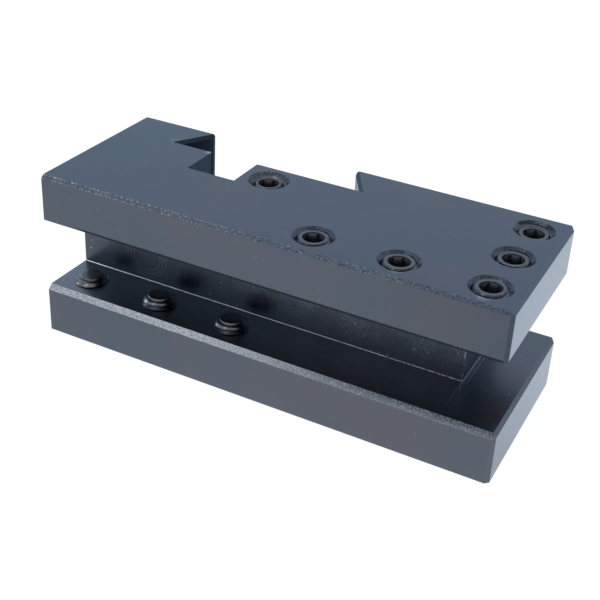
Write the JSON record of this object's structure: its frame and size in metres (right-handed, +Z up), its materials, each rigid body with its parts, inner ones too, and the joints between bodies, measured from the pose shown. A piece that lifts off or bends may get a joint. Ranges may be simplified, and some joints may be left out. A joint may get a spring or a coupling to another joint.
{
  "type": "turning and facing tool holder",
  "caption": "Quick-change tool holder: a dark steel block with a dovetail up its back, tool slots along its front and across its right end, and socket set screws that clamp the tools.",
  "frame": {"origin": "middle of the block's flat underside", "axes": "+X along the block towards the end with the crosswise slot, +Y towards the dovetail at the back, +Z up along the dovetail"},
  "size_m": [0.165, 0.062, 0.061],
  "materials": {
    "block": "black oxide over milled steel, satin",
    "set_screw": "black oxide, oiled",
    "stud": "black oxide, oiled"
  },
  "bodies": {
    "holder": {"holder_block": "block"},
    "front_clamp_screw_left": {"front_clamp_screw_left": "set_screw"},
    "front_clamp_screw_right": {"front_clamp_screw_right": "set_screw"},
    "corner_clamp_screw": {"corner_clamp_screw": "set_screw"},
    "end_clamp_screw_front": {"end_clamp_screw_front": "set_screw"},
    "end_clamp_screw_rear": {"end_clamp_screw_rear": "set_screw"},
    "under_clamp_screw_left": {"under_clamp_screw_left": "set_screw"},
    "under_clamp_screw_middle": {"under_clamp_screw_middle": "set_screw"},
    "under_clamp_screw_right": {"under_clamp_screw_right": "set_screw"},
    "height_stud": {"height_stud": "stud"}
  },
  "joints": [
    {"name": "front_clamp_screw_left_travel", "type": "slide", "parent": "holder", "child": "front_clamp_screw_left", "axis": [0, 0, -1], "range_m": [-0.0035, 0.00875]},
    {"name": "front_clamp_screw_right_travel", "type": "slide", "parent": "holder", "child": "front_clamp_screw_right", "axis": [0, 0, -1], "range_m": [-0.0035, 0.00875]},
    {"name": "corner_clamp_screw_travel", "type": "slide", "parent": "holder", "child": "corner_clamp_screw", "axis": [0, 0, -1], "range_m": [-0.0035, 0.00875]},
    {"name": "end_clamp_screw_front_travel", "type": "slide", "parent": "holder", "child": "end_clamp_screw_front", "axis": [0, 0, -1], "range_m": [-0.0035, 0.00875]},
    {"name": "end_clamp_screw_rear_travel", "type": "slide", "parent": "holder", "child": "end_clamp_screw_rear", "axis": [0, 0, -1], "range_m": [-0.00525, 0.007]},
    {"name": "under_clamp_screw_left_travel", "type": "slide", "parent": "holder", "child": "under_clamp_screw_left", "axis": [0, 0, 1], "range_m": [0, 0.0105]},
    {"name": "under_clamp_screw_middle_travel", "type": "slide", "parent": "holder", "child": "under_clamp_screw_middle", "axis": [0, 0, 1], "range_m": [-0.00175, 0.00875]},
    {"name": "under_clamp_screw_right_travel", "type": "slide", "parent": "holder", "child": "under_clamp_screw_right", "axis": [0, 0, 1], "range_m": [-0.00175, 0.00875]},
    {"name": "height_stud_travel", "type": "slide", "parent": "holder", "child": "height_stud", "axis": [0, 0, 1], "range_m": [0, 0.021]}
  ]
}
